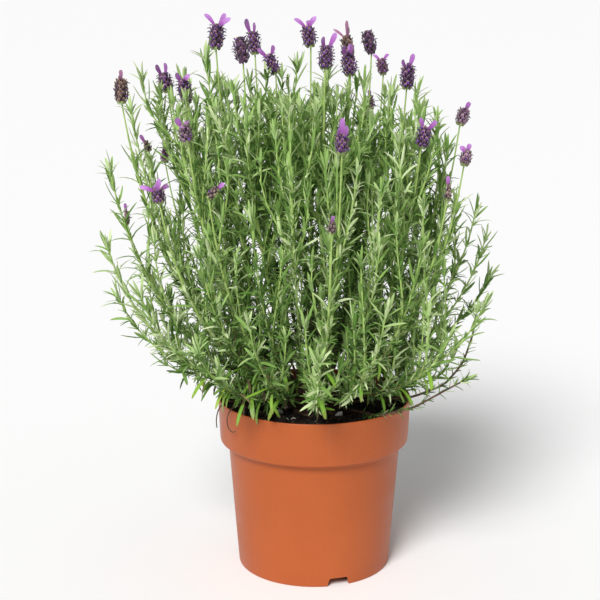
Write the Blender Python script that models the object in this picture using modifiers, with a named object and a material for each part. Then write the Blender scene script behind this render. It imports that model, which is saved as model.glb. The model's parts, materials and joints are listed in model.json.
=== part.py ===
"""Potted lavender: butterfly lavender growing in a round plastic nursery pot.

The pot is a thin turned shell with a deep collar, a foot ring and drain holes. It is filled with
soil, and a low woody crown lies on the soil. Flowering stems and leafy shoots stand on the crown,
fan outwards over the rim and then turn upwards. The origin is on the pot's axis, on the surface
that the pot stands on. Metres, +Z up, the front is towards -Y.
"""

import math

import bmesh
import bpy
from mathutils import Vector

MM = 0.001
GAP = 0.3 * MM

# Pot, outer sizes
RIM_RADIUS = 95.0 * MM
RIM_HEIGHT = 171.5 * MM
COLLAR_FOOT_RADIUS = 93.2 * MM
COLLAR_FOOT_HEIGHT = 128.0 * MM
NECK_RADIUS = 85.0 * MM
NECK_HEIGHT = 125.0 * MM
FOOT_RADIUS = 75.5 * MM
FOOT_RING_WIDTH = 3.5 * MM
FOOT_RING_DEPTH = 7.0 * MM
WALL = 1.6 * MM
FLOOR = 2.0 * MM
EDGE = 2.5 * MM
STEP_ROUNDING = 1.0 * MM
INNER_SHOULDER_RISE = 3.0 * MM
INNER_COLLAR_RISE = 4.0 * MM
INNER_CHAMFER = 1.6 * MM
TURN_STEPS = 60
LIP_STEPS = 4
EDGE_STEPS = 3
COLLAR_EDGE_END = -80

# Drainage: slots cut through the foot ring, holes through the floor
DRAIN_SLOTS = 3
DRAIN_SLOT_WIDTH = 26.0 * MM
DRAIN_SLOT_TOP = 8.5 * MM
DRAIN_SLOT_SLANT = 4.0 * MM
FIRST_SLOT_ANGLE = math.radians(-72)
DRAIN_HOLES = 6
DRAIN_HOLE_RADIUS = 5.0 * MM
DRAIN_HOLE_CIRCLE = 48.0 * MM
DRAIN_HOLE_SIDES = 12
FIRST_HOLE_ANGLE = math.radians(15)

# Soil and crown
SOIL_HEIGHT = 158.0 * MM
CROWN_RADIUS = 36.0 * MM
CROWN_TOP_RADIUS = 33.0 * MM
CROWN_HEIGHT = 172.0 * MM
CROWN_SHOULDER = 4.0 * MM
CROWN_WAIST = 8.0 * MM
STEM_SPACING = 7.2 * MM
SPREAD_ROUNDS = 400
SPREAD_PUSH = 0.25

# Stems: radii in millimetres, because a stem's curve has a bevel depth of one millimetre
WOODY_RADIUS = 1.7
FOLIAGE_RADIUS = 4.6
STALK_RADIUS = 1.2
HEAD_RADIUS = 6.2
EARS_RADIUS = 3.0
TIP_RADIUS = 0.9
WOODY_LENGTH = 30.0 * MM
FOLIAGE_START = 60.0 * MM
TIP_LENGTH = 25.0 * MM
UPRIGHT_FOOT = 2.5 * MM
STEM_POINTS = 13

# A stem's bend: shares of its reach and of its rise that its two control points are moved by
LEAVES_OUTWARDS = (0.6, 0.2)
ARRIVES_UPRIGHT = (0.12, 0.45)

# Flower head: (share of its length, share of its radius) for the barrel, then for the ears
BARREL = [(0.12, 0.85), (0.3, 1.0), (0.5, 0.9), (0.62, 0.6)]
EARS = [(0.8, 1.0), (1.0, 0.35)]

# Flowering stems, in millimetres: foot of the flower head (x, y, z), then the tip of its ears
# (x, z), and the length of bare stalk below the head.
FLOWERING_STEMS = [
    ((-180, -20, 461), (-180, 489), 45),
    ((-142, 40, 466), (-149, 492), 70),
    ((-120, 0, 459), (-125, 483), 60),
    ((-91, -30, 511), (-89, 543), 90),
    ((-65, -60, 501), (-68, 524), 80),
    ((-58, 60, 501), (-62, 534), 85),
    ((-37, 20, 485), (-47, 510), 70),
    ((-115, -70, 430), (-120, 450), 45),
    ((-108, 90, 411), (-106, 434), 60),
    ((-164, 60, 406), (-170, 422), 45),
    ((-152, 100, 389), (-152, 412), 50),
    ((-140, -90, 378), (-143, 400), 40),
    ((-94, -120, 388), (-83, 402), 50),
    ((-176, -38, 350), (-176, 373), 40),
    ((-4, -10, 512), (-9, 540), 95),
    ((8, -70, 496), (11, 526), 85),
    ((35, 80, 494), (29, 533), 95),
    ((32, -30, 487), (29, 516), 80),
    ((54, 20, 504), (49, 526), 95),
    ((70, 100, 478), (67, 502), 90),
    ((60, 132, 440), (58, 460), 70),
    ((85, -20, 474), (87, 506), 80),
    ((96, -60, 424), (102, 451), 60),
    ((22, -130, 428), (22, 456), 60),
    ((13, -160, 364), (14, 382), 45),
    ((142, 40, 434), (149, 456), 70),
    ((139, -30, 404), (143, 423), 50),
    ((120, -70, 378), (122, 400), 45),
]

# Leafy shoots, in millimetres: tip (x, y, z)
LEAFY_SHOOTS = [
    (-178, 38, 448),
    (-185, -78, 404),
    (-185, -112, 342),
    (-156, -116, 298),
    (-184, -52, 281),
    (102, 60, 462),
    (118, 84, 405),
    (126, 0, 412),
    (158, 30, 346),
    (172, 56, 316),
    (183, 100, 268),
    (94, -110, 339),
    (-102, -130, 338),
    (-56, -140, 372),
    (-21, -120, 404),
    (57, -120, 392),
    (-104, -146, 254),
    (-58, -165, 285),
    (2, -180, 255),
    (60, -160, 292),
    (120, -120, 262),
    (158, -60, 276),
    (-150, 118, 325),
    (-110, 150, 290),
    (-52, 165, 340),
    (2, 180, 270),
    (60, 160, 330),
    (118, 142, 290),
    (-12, 118, 425),
]


def clear_scene():
    for thing in list(bpy.data.objects):
        bpy.data.objects.remove(thing)


def new_collection(name):
    collection = bpy.data.collections.new(name)
    bpy.context.scene.collection.children.link(collection)
    return collection


def new_material(name, colour, roughness):
    material = bpy.data.materials.new(name)
    material.use_nodes = True
    shader = material.node_tree.nodes["Principled BSDF"]
    shader.inputs["Base Color"].default_value = (*colour, 1.0)
    shader.inputs["Roughness"].default_value = roughness
    shader.inputs["Metallic"].default_value = 0.0
    material.diffuse_color = (*colour, 1.0)
    return material


def turned(name, profile, collection, material):
    """A body turned about Z from (radius, height) points, axis to axis, down its outer side."""
    mesh = bpy.data.meshes.new(name)
    edges = [(i, i + 1) for i in range(len(profile) - 1)]
    mesh.from_pydata([(r, 0.0, z) for r, z in profile], edges, [])
    mesh.materials.append(material)
    body = bpy.data.objects.new(name, mesh)
    collection.objects.link(body)
    screw = body.modifiers.new("turn", "SCREW")
    screw.axis = "Z"
    screw.steps = TURN_STEPS
    screw.render_steps = TURN_STEPS
    screw.use_merge_vertices = True
    screw.merge_threshold = 0.00001
    screw.use_smooth_shade = True
    return body


def cut(body, cutter):
    boolean = body.modifiers.new(cutter.name, "BOOLEAN")
    boolean.operation = "DIFFERENCE"
    boolean.solver = "EXACT"
    boolean.object = cutter


def arc(centre, radius, start, end, steps):
    """Points on a circle in the profile plane, from one angle in degrees to another."""
    angles = [math.radians(start + (end - start) * i / steps) for i in range(steps + 1)]
    return [
        (centre[0] + radius * math.cos(a), centre[1] + radius * math.sin(a)) for a in angles
    ]


def pot_profile():
    """Floor, inner wall, lip, collar, neck, foot ring and the recess below the floor."""
    floor_top = FOOT_RING_DEPTH + FLOOR
    inner_floor = FOOT_RADIUS - WALL
    inner_neck = NECK_RADIUS - WALL
    inner_collar_foot = COLLAR_FOOT_RADIUS - WALL
    inner_collar_height = COLLAR_FOOT_HEIGHT + INNER_COLLAR_RISE
    lip = WALL / 2
    inside = [(0.0, floor_top), (inner_floor, floor_top), (inner_neck, NECK_HEIGHT)]
    inside += [
        (inner_neck + STEP_ROUNDING, NECK_HEIGHT + INNER_SHOULDER_RISE),
        (inner_collar_foot - STEP_ROUNDING, inner_collar_height - INNER_CHAMFER),
        (inner_collar_foot, inner_collar_height),
    ]
    lip_centre = (RIM_RADIUS - lip, RIM_HEIGHT - lip)
    corner_centre = (COLLAR_FOOT_RADIUS - EDGE, COLLAR_FOOT_HEIGHT + EDGE)
    foot_centre = (FOOT_RADIUS - EDGE / 2, EDGE / 2)
    outside = arc(lip_centre, lip, 180, 0, LIP_STEPS)
    outside += arc(corner_centre, EDGE, 0, COLLAR_EDGE_END, EDGE_STEPS)
    outside += [
        (NECK_RADIUS + STEP_ROUNDING, NECK_HEIGHT + STEP_ROUNDING),
        (NECK_RADIUS, NECK_HEIGHT - STEP_ROUNDING),
    ]
    outside += arc(foot_centre, EDGE / 2, 0, -90, EDGE_STEPS)
    recess_radius = FOOT_RADIUS - FOOT_RING_WIDTH
    below = [(recess_radius, 0.0), (recess_radius, FOOT_RING_DEPTH), (0.0, FOOT_RING_DEPTH)]
    return inside + outside + below


def new_cutter(name, shape, cutters):
    mesh = bpy.data.meshes.new(name)
    shape.to_mesh(mesh)
    shape.free()
    cutter = bpy.data.objects.new(name, mesh)
    cutters.objects.link(cutter)
    cutter.hide_render = True
    cutter.display_type = "WIRE"
    return cutter


def drain_slot_cutter(index, cutters):
    """A block with slanted ends that crosses the foot ring."""
    shape = bmesh.new()
    bmesh.ops.create_cube(shape, size=1.0)
    for vertex in shape.verts:
        upper = vertex.co.z > 0
        half_width = DRAIN_SLOT_WIDTH / 2 - (DRAIN_SLOT_SLANT if upper else 0.0)
        vertex.co.x *= 4 * FOOT_RING_WIDTH
        vertex.co.y = math.copysign(half_width, vertex.co.y)
        vertex.co.z = DRAIN_SLOT_TOP if upper else -DRAIN_SLOT_TOP / 4
    cutter = new_cutter(f"drain_slot_cutter_{index + 1}", shape, cutters)
    angle = FIRST_SLOT_ANGLE + index * 2 * math.pi / DRAIN_SLOTS
    cutter.location = (FOOT_RADIUS * math.cos(angle), FOOT_RADIUS * math.sin(angle), 0.0)
    cutter.rotation_euler.z = angle
    return cutter


def drain_hole_cutter(index, cutters):
    shape = bmesh.new()
    depth = 4 * FLOOR
    bmesh.ops.create_cone(
        shape,
        cap_ends=True,
        segments=DRAIN_HOLE_SIDES,
        radius1=DRAIN_HOLE_RADIUS,
        radius2=DRAIN_HOLE_RADIUS,
        depth=depth,
    )
    cutter = new_cutter(f"drain_hole_cutter_{index + 1}", shape, cutters)
    angle = FIRST_HOLE_ANGLE + index * 2 * math.pi / DRAIN_HOLES
    cutter.location = (
        DRAIN_HOLE_CIRCLE * math.cos(angle),
        DRAIN_HOLE_CIRCLE * math.sin(angle),
        FOOT_RING_DEPTH + FLOOR / 2,
    )
    return cutter


def build_pot(collection, cutters):
    plastic = new_material("terracotta_plastic", (0.58, 0.14, 0.045), 0.42)
    pot = turned("pot", pot_profile(), collection, plastic)
    for index in range(DRAIN_SLOTS):
        cut(pot, drain_slot_cutter(index, cutters))
    for index in range(DRAIN_HOLES):
        cut(pot, drain_hole_cutter(index, cutters))
    return pot


def build_soil(collection):
    """Fills the pot, a gap clear of its floor and walls."""
    bottom = FOOT_RING_DEPTH + FLOOR + GAP
    inset = WALL + 2 * GAP
    profile = [
        (0.0, SOIL_HEIGHT),
        (COLLAR_FOOT_RADIUS - inset, SOIL_HEIGHT),
        (COLLAR_FOOT_RADIUS - inset, COLLAR_FOOT_HEIGHT + INNER_COLLAR_RISE + STEP_ROUNDING),
        (NECK_RADIUS - inset, COLLAR_FOOT_HEIGHT + INNER_SHOULDER_RISE),
        (NECK_RADIUS - inset, NECK_HEIGHT),
        (FOOT_RADIUS - inset, bottom),
        (0.0, bottom),
    ]
    peat = new_material("peat_soil", (0.02, 0.014, 0.009), 0.95)
    return turned("potting_soil", profile, collection, peat)


def build_crown(collection):
    """The low woody base that the stems grow from."""
    bottom = SOIL_HEIGHT + GAP
    profile = [
        (0.0, CROWN_HEIGHT),
        (CROWN_TOP_RADIUS, CROWN_HEIGHT),
        (CROWN_RADIUS, CROWN_HEIGHT - CROWN_SHOULDER),
        (CROWN_RADIUS, CROWN_HEIGHT - CROWN_WAIST),
        (CROWN_TOP_RADIUS, bottom),
        (0.0, bottom),
    ]
    bark = new_material("woody_bark", (0.12, 0.07, 0.04), 0.9)
    return turned("woody_crown", profile, collection, bark)


def spread_feet(tips):
    """Stem feet on the crown: each below its own tip, pushed apart until none is crowded."""
    widest = max(math.hypot(x, y) for x, y, z in tips)
    room = CROWN_TOP_RADIUS - WOODY_RADIUS * MM
    feet = [Vector((x, y)) * (room / widest) for x, y, z in tips]
    for _ in range(SPREAD_ROUNDS):
        for i, first in enumerate(feet):
            for second in feet[i + 1 :]:
                apart = second - first
                short = STEM_SPACING - apart.length
                if short > 0:
                    push = apart.normalized() * (short * SPREAD_PUSH)
                    first -= push
                    second += push
        for foot in feet:
            if foot.length > room:
                foot *= room / foot.length
    return feet


def branch_route(foot, tip):
    """A short upright foot, and then a cubic Bezier that leaves outwards and turns upwards."""
    start = foot + Vector((0.0, 0.0, UPRIGHT_FOOT))
    out = Vector((tip.x - start.x, tip.y - start.y, 0.0))
    up = Vector((0.0, 0.0, tip.z - start.z))
    near_start = start + LEAVES_OUTWARDS[0] * out + LEAVES_OUTWARDS[1] * up
    near_tip = tip - ARRIVES_UPRIGHT[0] * out - ARRIVES_UPRIGHT[1] * up
    route = [foot]
    for i in range(STEM_POINTS):
        t = i / (STEM_POINTS - 1)
        s = 1 - t
        route.append(
            s**3 * start + 3 * s * s * t * near_start + 3 * s * t * t * near_tip + t**3 * tip
        )
    return route


def lengths_along(route):
    lengths = [0.0]
    for before, after in zip(route, route[1:]):
        lengths.append(lengths[-1] + (after - before).length)
    return lengths


def ramp(value, start, end, low, high):
    share = min(max((value - start) / (end - start), 0.0), 1.0)
    return low + (high - low) * share


def build_tube(name, route, radii, collection, material):
    """A tube with its own radius, in millimetres, at each point of its route."""
    curve = bpy.data.curves.new(name, "CURVE")
    curve.dimensions = "3D"
    curve.bevel_depth = MM
    curve.bevel_resolution = 1
    curve.use_fill_caps = True
    curve.materials.append(material)
    spline = curve.splines.new("POLY")
    spline.points.add(len(route) - 1)
    for point, place, radius in zip(spline.points, route, radii):
        point.co = (*place, 1.0)
        point.radius = radius
    tube = bpy.data.objects.new(name, curve)
    collection.objects.link(tube)
    return tube


def build_flowering_stem(name, foot, head_foot, head_tip, stalk, collection, material):
    """Woody foot, leafy stretch, bare stalk, barrel-shaped flower head and its ears."""
    route = branch_route(foot, head_foot)
    lengths = lengths_along(route)
    foliage_end = lengths[-1] - stalk * MM
    radii = []
    for length in lengths:
        if length < foliage_end:
            radius = ramp(length, WOODY_LENGTH, FOLIAGE_START, WOODY_RADIUS, FOLIAGE_RADIUS)
        else:
            radius = STALK_RADIUS
        radii.append(radius)
    head = head_tip - head_foot
    for share, width in BARREL:
        route.append(head_foot + share * head)
        radii.append(width * HEAD_RADIUS)
    for share, width in EARS:
        route.append(head_foot + share * head)
        radii.append(width * EARS_RADIUS)
    return build_tube(name, route, radii, collection, material)


def build_leafy_shoot(name, foot, tip, collection, material):
    """Woody foot and a leafy stretch that narrows to the tip."""
    route = branch_route(foot, tip)
    lengths = lengths_along(route)
    narrowing = lengths[-1] - TIP_LENGTH
    radii = []
    for length in lengths:
        grown = ramp(length, WOODY_LENGTH, FOLIAGE_START, WOODY_RADIUS, FOLIAGE_RADIUS)
        radii.append(min(grown, ramp(length, narrowing, lengths[-1], FOLIAGE_RADIUS, TIP_RADIUS)))
    return build_tube(name, route, radii, collection, material)


def build_plant(collection):
    green = new_material("stem_green", (0.30, 0.38, 0.16), 0.7)
    grey_green = new_material("foliage_green", (0.20, 0.30, 0.11), 0.75)
    heads = [place for place, _, _ in FLOWERING_STEMS]
    feet = spread_feet(heads + LEAFY_SHOOTS)
    foot_height = CROWN_HEIGHT + GAP
    for number, (head_foot, ears, stalk) in enumerate(FLOWERING_STEMS, start=1):
        foot = feet.pop(0).to_3d() + Vector((0.0, 0.0, foot_height))
        head_tip = Vector((ears[0], head_foot[1], ears[1])) * MM
        name = f"flowering_stem_{number:02d}"
        build_flowering_stem(
            name, foot, Vector(head_foot) * MM, head_tip, stalk, collection, green
        )
    for number, tip in enumerate(LEAFY_SHOOTS, start=1):
        foot = feet.pop(0).to_3d() + Vector((0.0, 0.0, foot_height))
        name = f"leafy_shoot_{number:02d}"
        build_leafy_shoot(name, foot, Vector(tip) * MM, collection, grey_green)


def main():
    clear_scene()
    collection = new_collection("potted_lavender")
    cutters = new_collection("cutters")
    build_pot(collection, cutters)
    build_soil(collection)
    build_crown(collection)
    build_plant(collection)


main()
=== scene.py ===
"""Looks of a potted butterfly lavender: pot, soil, woody crown, leafy shoots and flower heads.

Every stem follows the route of its solid in the frame. Leaves, scales and petals are modelled
once and copied along the stems. Metres, +Z up, the front is towards -Y.
"""

import json
import math

import bpy
import numpy as np
from mathutils import Matrix, Vector, noise

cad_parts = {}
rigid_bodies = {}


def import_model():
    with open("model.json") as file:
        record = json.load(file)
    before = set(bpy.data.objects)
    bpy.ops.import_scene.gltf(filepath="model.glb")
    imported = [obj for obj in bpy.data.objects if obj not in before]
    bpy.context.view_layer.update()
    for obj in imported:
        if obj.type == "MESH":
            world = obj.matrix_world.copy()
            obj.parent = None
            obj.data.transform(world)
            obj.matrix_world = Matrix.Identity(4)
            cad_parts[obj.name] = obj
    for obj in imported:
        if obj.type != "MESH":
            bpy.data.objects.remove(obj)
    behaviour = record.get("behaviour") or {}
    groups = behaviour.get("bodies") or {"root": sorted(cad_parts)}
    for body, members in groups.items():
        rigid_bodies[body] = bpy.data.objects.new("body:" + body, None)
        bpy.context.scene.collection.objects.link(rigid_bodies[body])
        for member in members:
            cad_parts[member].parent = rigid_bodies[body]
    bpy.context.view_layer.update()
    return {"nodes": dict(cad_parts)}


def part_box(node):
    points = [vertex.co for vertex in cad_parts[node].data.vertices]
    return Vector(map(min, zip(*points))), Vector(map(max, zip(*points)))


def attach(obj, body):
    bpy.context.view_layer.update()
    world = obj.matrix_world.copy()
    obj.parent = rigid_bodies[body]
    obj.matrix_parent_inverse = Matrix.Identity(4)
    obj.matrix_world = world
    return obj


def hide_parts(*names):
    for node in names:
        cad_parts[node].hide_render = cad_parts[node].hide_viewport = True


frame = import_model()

SEED = 11
MM = 0.001
UP = np.array([0.0, 0.0, 1.0])

# Pot, read from the frame's box and the wall's own sizes
RIM_RADIUS, _, RIM_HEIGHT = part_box("pot")[1]
SOIL_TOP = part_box("potting_soil")[1].z
COLLAR_HEIGHT = 43.5 * MM
COLLAR_TAPER = 1.8 * MM
NECK_STEP = 8.2 * MM
FOOT_RADIUS = 75.5 * MM
WALL = 1.6 * MM
FOOT_EDGE = 1.4 * MM
COLLAR_EDGE = 2.4 * MM
FOOT_RING = 3.5 * MM
RECESS = 7.0 * MM
FLOOR_THICKNESS = 2.0 * MM
POT_SEGMENTS = 144
SLOT_ANGLES = [math.radians(-72 + 120 * i) for i in range(3)]
SLOT_WIDTH = 26.0 * MM
SLOT_HEIGHT = 8.5 * MM
HOLE_ANGLES = [math.radians(15 + 60 * i) for i in range(6)]
HOLE_RADIUS = 5 * MM
HOLE_CIRCLE = 48 * MM

# Growth
NODE_STEP = 8.2 * MM
WOODY_STRETCH = 70 * MM
BARE_FOOT = 42 * MM
LOW_LEAF_TOP = 228 * MM
STEM_SIDES = 6
LIMB_SIDES = 7
CORE_SIDES = 8
CORE_RINGS = 9
TWIG_STATIONS = 26
LINE_STEP = 2 * MM
SMOOTHING_ROUNDS = 6
CURVE_POINTS = 24
OUTER_SHOOTS = 300
INNER_SHOOTS = 80
GOLDEN_TURN = math.pi * (3 - math.sqrt(5))
CRUMBS = 1500
WHITE_SHARE = 0.035
TUBE_STRIP = 0.12

# Leafy side shoots that make the outline of the bush: tips in millimetres
CROWN_TIPS = [
    (-162, 0, 481), (-102, -10, 501), (-74, -60, 475), (-46, 10, 483), (-17, 40, 488),
    (12, -20, 486), (34, 60, 466), (95, -50, 452), (44, -80, 463), (-149, 30, 456),
    (-125, -50, 452), (-92, 40, 470), (-30, -90, 462), (70, -20, 462), (118, 30, 440),
]

# Outline of the bush beside the pot's axis: height, reach to the left, reach to the right
OUTLINE = np.array([
    (165, 92, 78), (180, 128, 112), (195, 148, 140), (225, 158, 146), (255, 166, 156),
    (300, 172, 160), (330, 174, 154), (360, 174, 150), (400, 168, 140), (440, 164, 128),
    (470, 156, 106), (490, 122, 66),
])
DEPTH_REACH = 158.0
LEAF_LIMIT = (198 * MM, 192 * MM)

# Dark low twigs: the shoot each grows with, and its route in millimetres
DARK_TWIGS = {
    "leafy_shoot_22": [
        (20, -12, 166), (60, -14, 170), (97, -22, 176), (126, -28, 190), (143, -30, 212),
        (152, -28, 240), (156, -22, 262),
    ],
    "leafy_shoot_21": [
        (18, -20, 166), (60, -70, 172), (92, -88, 186), (118, -96, 204), (138, -98, 216),
    ],
}

# Dried tendrils that hang over the rim, in millimetres
TENDRILS = [
    [(-50, -40, 166), (-72, -50, 176), (-80, -54, 175), (-84, -58, 166), (-83, -59, 156),
     (-78, -62, 151), (-75, -64, 155)],
    [(-62, -30, 168), (-84, -38, 178), (-92, -42, 172), (-95, -44, 160), (-94, -45, 152)],
]

# Flower heads: kind, barrel length, girth, number of ears, ear length, way the first ear faces
HEADS = [
    ("faded", 23, 13.5, 2, 7, 80), ("ripe", 19, 13.5, 2, 10, 200), ("ripe", 23, 13.0, 3, 7, 190),
    ("ripe", 23, 14.2, 3, 13, 170), ("dark", 23, 13.6, 0, 0, 0), ("ripe", 22, 12.6, 2, 13, 150),
    ("ripe", 20, 12.0, 2, 9, 180), ("pale", 17, 12.0, 3, 7, 170), ("small", 14, 9.0, 1, 10, 90),
    ("bud", 11, 8.5, 1, 6, 120), ("small", 13, 10.0, 2, 10, 90), ("open", 14, 12.5, 4, 13, 20),
    ("bud", 13, 8.5, 1, 5, 40), ("bud", 13, 5.5, 1, 6, 90), ("ripe", 20, 13.0, 3, 11, 180),
    ("ripe", 21, 13.2, 2, 11, 10), ("faded", 24, 13.0, 3, 14, 60), ("ripe", 21, 13.4, 4, 9, 0),
    ("dark", 22, 12.4, 0, 0, 0), ("small", 16, 10.5, 2, 9, 30), ("small", 15, 7.5, 1, 4, 90),
    ("ripe", 22, 13.4, 3, 10, 60), ("ripe", 20, 12.6, 2, 9, 0), ("ripe", 17, 12.6, 3, 13, 100),
    ("bud", 12, 8.5, 2, 7, 90), ("pale", 17, 12.4, 2, 6, 60), ("pale", 15, 10.5, 2, 5, 60),
    ("bud", 15, 6.5, 1, 6, 90),
]

# For each kind of head: its scales' name, heart, rim, and where along a scale the rim starts
HEAD_SKINS = {
    "ripe": ("ripe scales", (0.085, 0.014, 0.150), (0.50, 0.30, 0.24), 0.6),
    "dark": ("dark scales", (0.060, 0.012, 0.085), (0.34, 0.18, 0.14), 0.66),
    "faded": ("faded scales", (0.10, 0.045, 0.045), (0.42, 0.27, 0.18), 0.45),
    "pale": ("pale scales", (0.15, 0.045, 0.16), (0.48, 0.35, 0.32), 0.45),
    "small": ("rosy scales", (0.19, 0.055, 0.14), (0.40, 0.22, 0.24), 0.5),
    "bud": ("bud scales", (0.24, 0.12, 0.13), (0.36, 0.30, 0.20), 0.4),
}

# For each kind of head: share of its scales that hold an open corolla
OPEN_SHARE = {"ripe": 0.55, "dark": 0.4, "faded": 0.12, "pale": 0.35, "small": 0.3}
RARELY_OPEN = 0.1

# Barrel of a flower head: girth at places along it, and a bud's
BARREL_PLACES = [0.0, 0.12, 0.3, 0.55, 0.8, 0.93, 1.0]
BARREL_GIRTHS = [0.42, 0.8, 0.98, 1.0, 0.9, 0.66, 0.35]
BUD_GIRTHS = [0.4, 0.8, 1.0, 0.85, 0.6, 0.42, 0.25]

# Stage
CAMERA_PLACE = (-0.014, -1.3625, 0.5908)
CAMERA_DOWN = math.radians(13.34)
CAMERA_LENS = 86.16
CAMERA_REACH = 60
FLOOR_SIZE = 120
WORLD_STRENGTH = 0.36
SUN_STRENGTH = 3.35
SUN_WIDTH = math.radians(24)
SUN_HEADING = (0.27, 0.74, -0.68)


# ---- small tools


def deselect():
    for thing in bpy.context.view_layer.objects:
        thing.select_set(False)


def activate(thing):
    deselect()
    thing.select_set(True)
    bpy.context.view_layer.objects.active = thing


def finish_piece(piece, slot, *nodes):
    """The piece rides on the pot's body and stands for its nodes, which it hides. The slot is not
    used.
    """
    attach(piece, "root")
    if nodes:
        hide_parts(*nodes)


def apply_modifiers(piece):
    activate(piece)
    for modifier in list(piece.modifiers):
        bpy.ops.object.modifier_apply(modifier=modifier.name)


def unit(vector):
    return vector / np.linalg.norm(vector)


def smooth(piece, degrees):
    activate(piece)
    bpy.ops.object.shade_smooth_by_angle(angle=math.radians(degrees))


def turned_shell(name, rings, segments):
    """A shell drawn up from one circle by extruding it from ring to ring of (radius, height)."""
    deselect()
    radius, height = rings[0]
    bpy.ops.mesh.primitive_circle_add(
        vertices=segments, radius=radius, fill_type="NOTHING", location=(0, 0, 0)
    )
    piece = bpy.context.object
    piece.name = name
    bpy.ops.object.mode_set(mode="EDIT")
    bpy.ops.mesh.select_all(action="SELECT")
    bpy.ops.transform.translate(value=(0, 0, height))
    for next_radius, next_height in rings[1:]:
        bpy.ops.mesh.extrude_edges_move(
            TRANSFORM_OT_translate={"value": (0, 0, next_height - height)}
        )
        share = next_radius / radius
        bpy.ops.transform.resize(value=(share, share, 1), center_override=(0, 0, next_height))
        radius, height = next_radius, next_height
    bpy.ops.object.mode_set(mode="OBJECT")
    return piece


def close_ends(piece):
    """Fills the open first and last rings, merges doubles and turns all faces outwards."""
    activate(piece)
    bpy.ops.object.mode_set(mode="EDIT")
    bpy.ops.mesh.select_all(action="DESELECT")
    bpy.ops.mesh.select_mode(type="EDGE")
    bpy.ops.mesh.select_non_manifold(extend=False)
    bpy.ops.mesh.fill_holes(sides=0)
    bpy.ops.mesh.select_all(action="SELECT")
    bpy.ops.mesh.remove_doubles(threshold=0.000001)
    bpy.ops.mesh.normals_make_consistent(inside=False)
    bpy.ops.mesh.select_mode(type="VERT")
    bpy.ops.object.mode_set(mode="OBJECT")


# ---- materials


class Finish:
    """A material whose nodes are added one call at a time."""

    def __init__(self, name, roughness):
        self.material = bpy.data.materials.new(name)
        self.material.use_nodes = True
        self.tree = self.material.node_tree
        self.shader = self.tree.nodes["Principled BSDF"]
        self.shader.inputs["Roughness"].default_value = roughness

    def node(self, kind, **settings):
        node = self.tree.nodes.new(kind)
        for key, value in settings.items():
            setattr(node, key, value)
        return node

    def link(self, output, target):
        self.tree.links.new(output, target)

    def attribute(self, name):
        return self.node("ShaderNodeAttribute", attribute_name=name).outputs["Fac"]

    def place(self):
        return self.node("ShaderNodeTexCoord").outputs["Object"]

    def noise(self, scale, detail=3.0, roughness=0.5, stretch=None):
        texture = self.node("ShaderNodeTexNoise")
        texture.inputs["Scale"].default_value = scale
        texture.inputs["Detail"].default_value = detail
        texture.inputs["Roughness"].default_value = roughness
        place = self.place()
        if stretch:
            mapping = self.node("ShaderNodeMapping")
            mapping.inputs["Scale"].default_value = stretch
            self.link(place, mapping.inputs["Vector"])
            place = mapping.outputs["Vector"]
        self.link(place, texture.inputs["Vector"])
        return texture.outputs["Fac"]

    def ramp(self, value, stops):
        """Colours or greys along a value: stops are (position, colour)."""
        ramp = self.node("ShaderNodeValToRGB")
        elements = ramp.color_ramp.elements
        while len(elements) < len(stops):
            elements.new(1.0)
        for element, (position, colour) in zip(elements, stops):
            element.position = position
            element.color = (*colour, 1.0)
        self.link(value, ramp.inputs["Fac"])
        return ramp.outputs["Color"]

    def grey_ramp(self, value, stops):
        return self.ramp(value, [(position, (grey,) * 3) for position, grey in stops])

    def mix(self, share, first, second, blend="MIX"):
        node = self.node("ShaderNodeMix", data_type="RGBA", blend_type=blend)
        for value, socket in ((share, 0), (first, 6), (second, 7)):
            if isinstance(value, bpy.types.NodeSocket):
                self.link(value, node.inputs[socket])
            elif socket:
                node.inputs[socket].default_value = (*value, 1.0)
            else:
                node.inputs[socket].default_value = value
        return node.outputs[2]

    def maths(self, operation, first, second=0.5):
        node = self.node("ShaderNodeMath", operation=operation)
        for value, socket in ((first, 0), (second, 1)):
            if isinstance(value, bpy.types.NodeSocket):
                self.link(value, node.inputs[socket])
            else:
                node.inputs[socket].default_value = value
        return node.outputs[0]

    def side(self):
        """How far a point is from the middle line of a leaf or scale: 0 to a half."""
        offset = self.maths("SUBTRACT", self.attribute("across"), 0.5)
        return self.maths("ABSOLUTE", offset)

    def grain(self, share, body, scale, detail, stops):
        """Darkens and lightens a colour by fine noise."""
        return self.mix(share, body, self.grey_ramp(self.noise(scale, detail), stops), "MULTIPLY")

    def midrib(self, body, share, width, colour):
        return self.mix(self.grey_ramp(self.side(), [(0.0, share), (width, 0.0)]), body, colour)

    def colour(self, output):
        self.link(output, self.shader.inputs["Base Color"])

    def rough(self, output):
        self.link(output, self.shader.inputs["Roughness"])

    def bump(self, height, distance, strength=1.0):
        bump = self.node("ShaderNodeBump")
        bump.inputs["Distance"].default_value = distance
        bump.inputs["Strength"].default_value = strength
        self.link(height, bump.inputs["Height"])
        self.link(bump.outputs["Normal"], self.shader.inputs["Normal"])


def pot_plastic():
    finish = Finish("terracotta plastic", 0.42)
    finish.shader.inputs["Specular IOR Level"].default_value = 0.3
    clouds = finish.ramp(
        finish.noise(9.0, 3.0),
        [(0.3, (0.395, 0.086, 0.018)), (0.55, (0.432, 0.095, 0.021)),
         (0.75, (0.465, 0.106, 0.026))],
    )
    rubbed = finish.grey_ramp(
        finish.noise(60.0, 6.0, 0.65, (1, 1, 0.08)), [(0.62, 0.0), (0.78, 0.22)]
    )
    body = finish.grain(0.35, clouds, 420.0, 2.0, [(0.35, 0.90), (0.6, 1.0)])
    finish.colour(finish.mix(rubbed, body, (0.52, 0.17, 0.075)))
    finish.rough(finish.grey_ramp(finish.noise(35.0, 5.0), [(0.3, 0.36), (0.7, 0.50)]))
    finish.bump(finish.noise(900.0, 2.0), 0.00012, 0.35)
    return finish.material


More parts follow.
